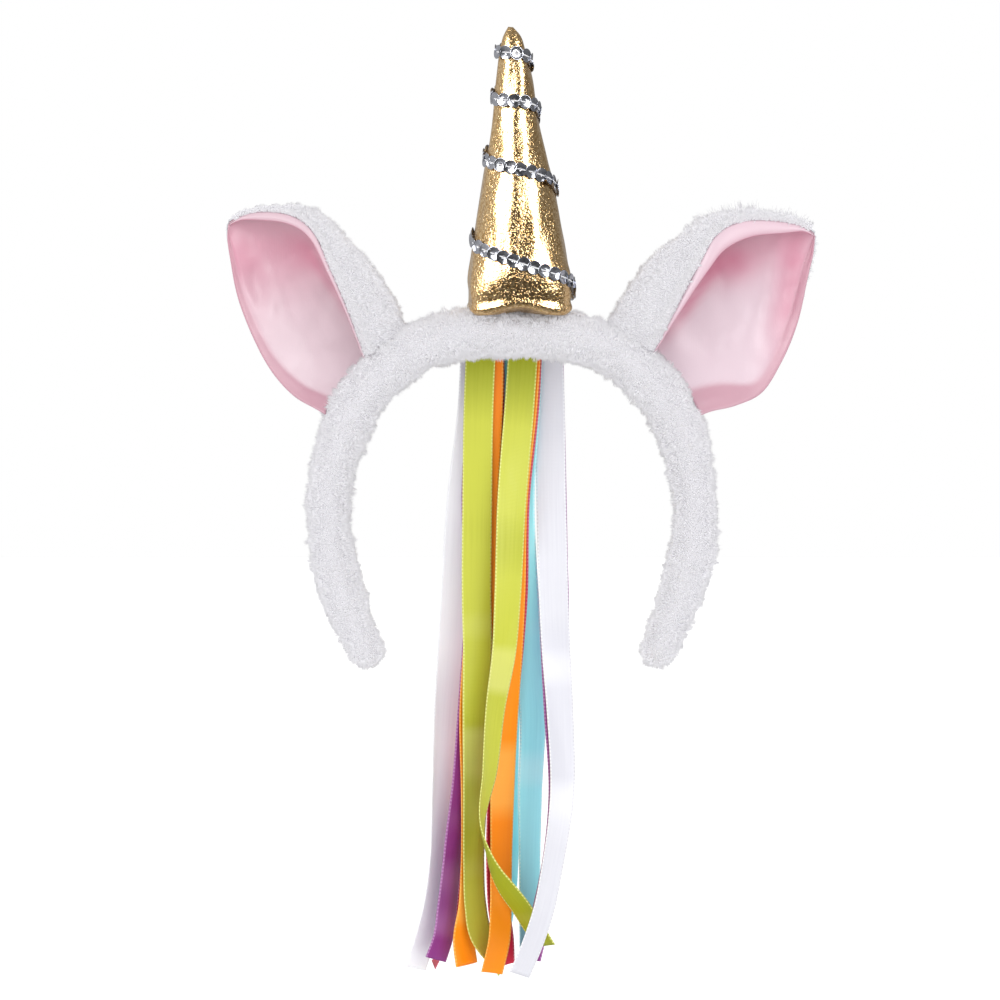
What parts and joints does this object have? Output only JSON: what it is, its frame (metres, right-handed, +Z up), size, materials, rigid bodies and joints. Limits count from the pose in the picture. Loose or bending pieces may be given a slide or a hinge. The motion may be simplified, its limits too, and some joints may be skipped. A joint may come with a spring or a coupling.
{
  "type": "unicorn horn headband",
  "caption": "Padded plush headband with a stuffed gold horn wound with sequins, two lined ears and a mane of hanging satin ribbons.",
  "frame": {"origin": "on the underside of the band at the middle of its crown, where the top of the head meets it", "axes": "+Z up along the horn, -Y the way the wearer faces, +X to the right of the front view"},
  "size_m": [0.2398, 0.0628, 0.3831],
  "materials": {
    "plush": "short white plush pile",
    "pink_satin": "soft pink satin",
    "gold_lame": "crinkled gold foil fabric, shiny",
    "silver_sequin": "mirror silver film",
    "green_ribbon": "satin ribbon, woven edges",
    "orange_ribbon": "satin ribbon, woven edges",
    "magenta_ribbon": "satin ribbon, woven edges",
    "teal_ribbon": "satin ribbon, woven edges",
    "purple_ribbon": "satin ribbon, woven edges",
    "white_ribbon": "satin ribbon, woven edges"
  },
  "bodies": {
    "root": {"plush_band": "plush", "horn": "gold_lame", "sequin_string": "silver_sequin", "left_ear_plush": "plush", "left_ear_lining": "pink_satin", "right_ear_plush": "plush", "right_ear_lining": "pink_satin", "green_ribbon_left": "green_ribbon", "green_ribbon_right": "green_ribbon", "orange_ribbon_left": "orange_ribbon", "orange_ribbon_right": "orange_ribbon", "magenta_ribbon_left": "magenta_ribbon", "magenta_ribbon_right": "magenta_ribbon", "teal_ribbon_left": "teal_ribbon", "teal_ribbon_right": "teal_ribbon", "purple_ribbon_left": "purple_ribbon", "purple_ribbon_right": "purple_ribbon", "white_ribbon_left": "white_ribbon", "white_ribbon_right": "white_ribbon"}
  },
  "joints": []
}
